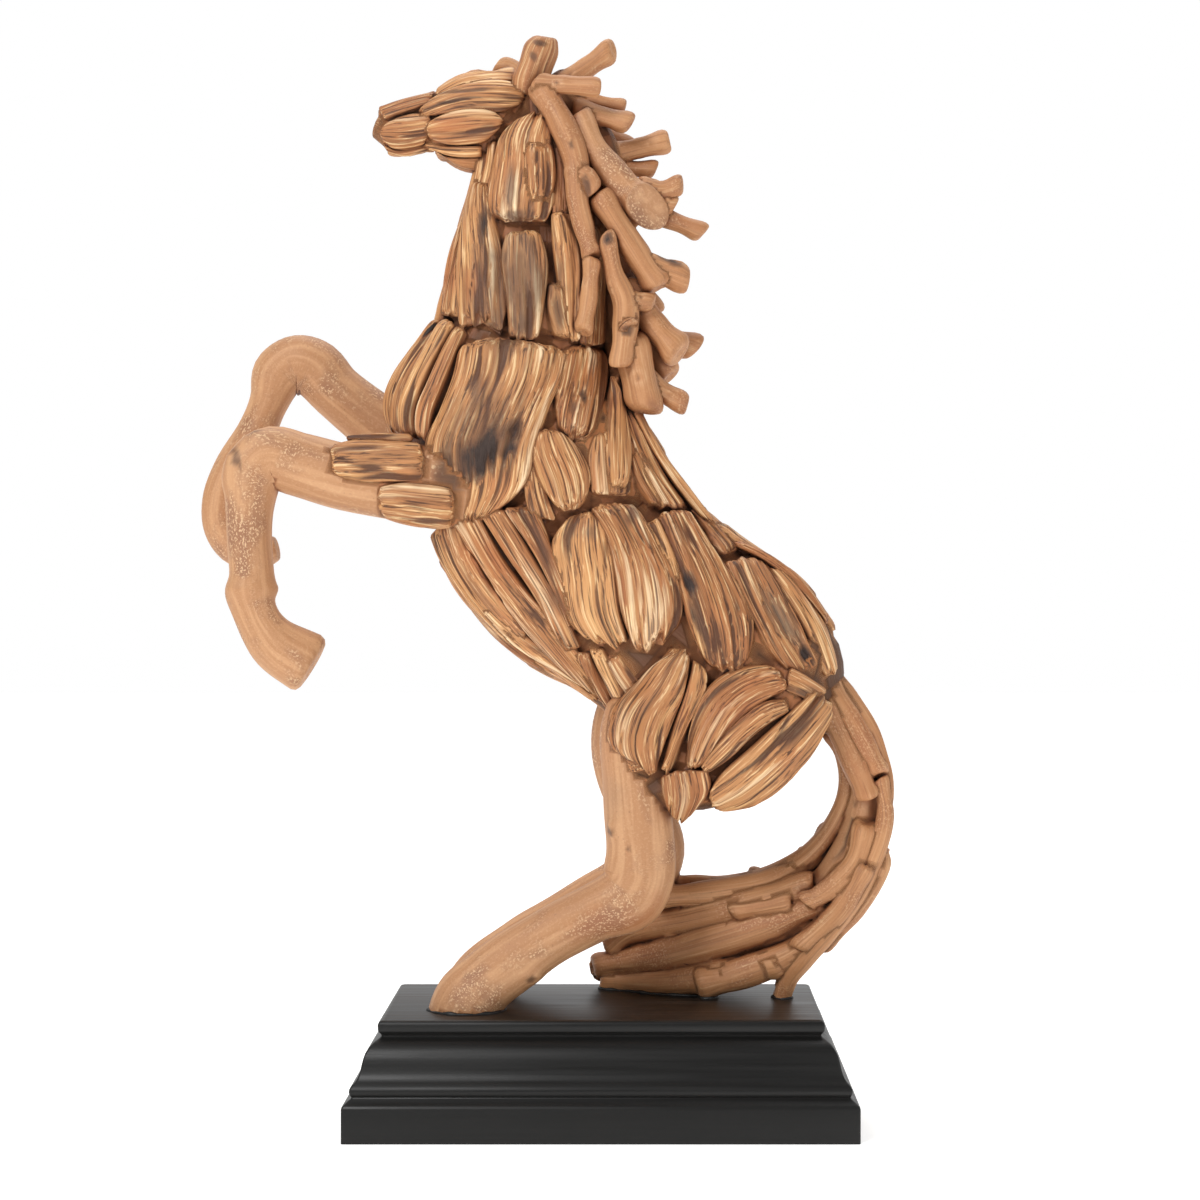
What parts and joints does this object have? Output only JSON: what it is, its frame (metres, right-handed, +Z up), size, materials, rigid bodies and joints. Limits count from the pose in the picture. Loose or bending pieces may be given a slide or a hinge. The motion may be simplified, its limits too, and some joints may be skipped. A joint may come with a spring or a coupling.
{
  "type": "horse figurine",
  "caption": "Rearing horse figurine built up of driftwood-like planks and branches, on a stepped rectangular plinth.",
  "frame": {"origin": "centre of the plinth's underside", "axes": "+Z up; +X along the plinth's length towards the tail, so the horse faces -X; -Y towards the near side, the side with the lower foreleg"},
  "size_m": [0.3321, 0.1276, 0.508],
  "materials": {
    "driftwood_resin": "cast resin painted as driftwood, brown wash in the grooves, matt",
    "black_resin": "satin black paint"
  },
  "bodies": {
    "root": {"horse": "driftwood_resin", "plinth": "black_resin"}
  },
  "joints": []
}
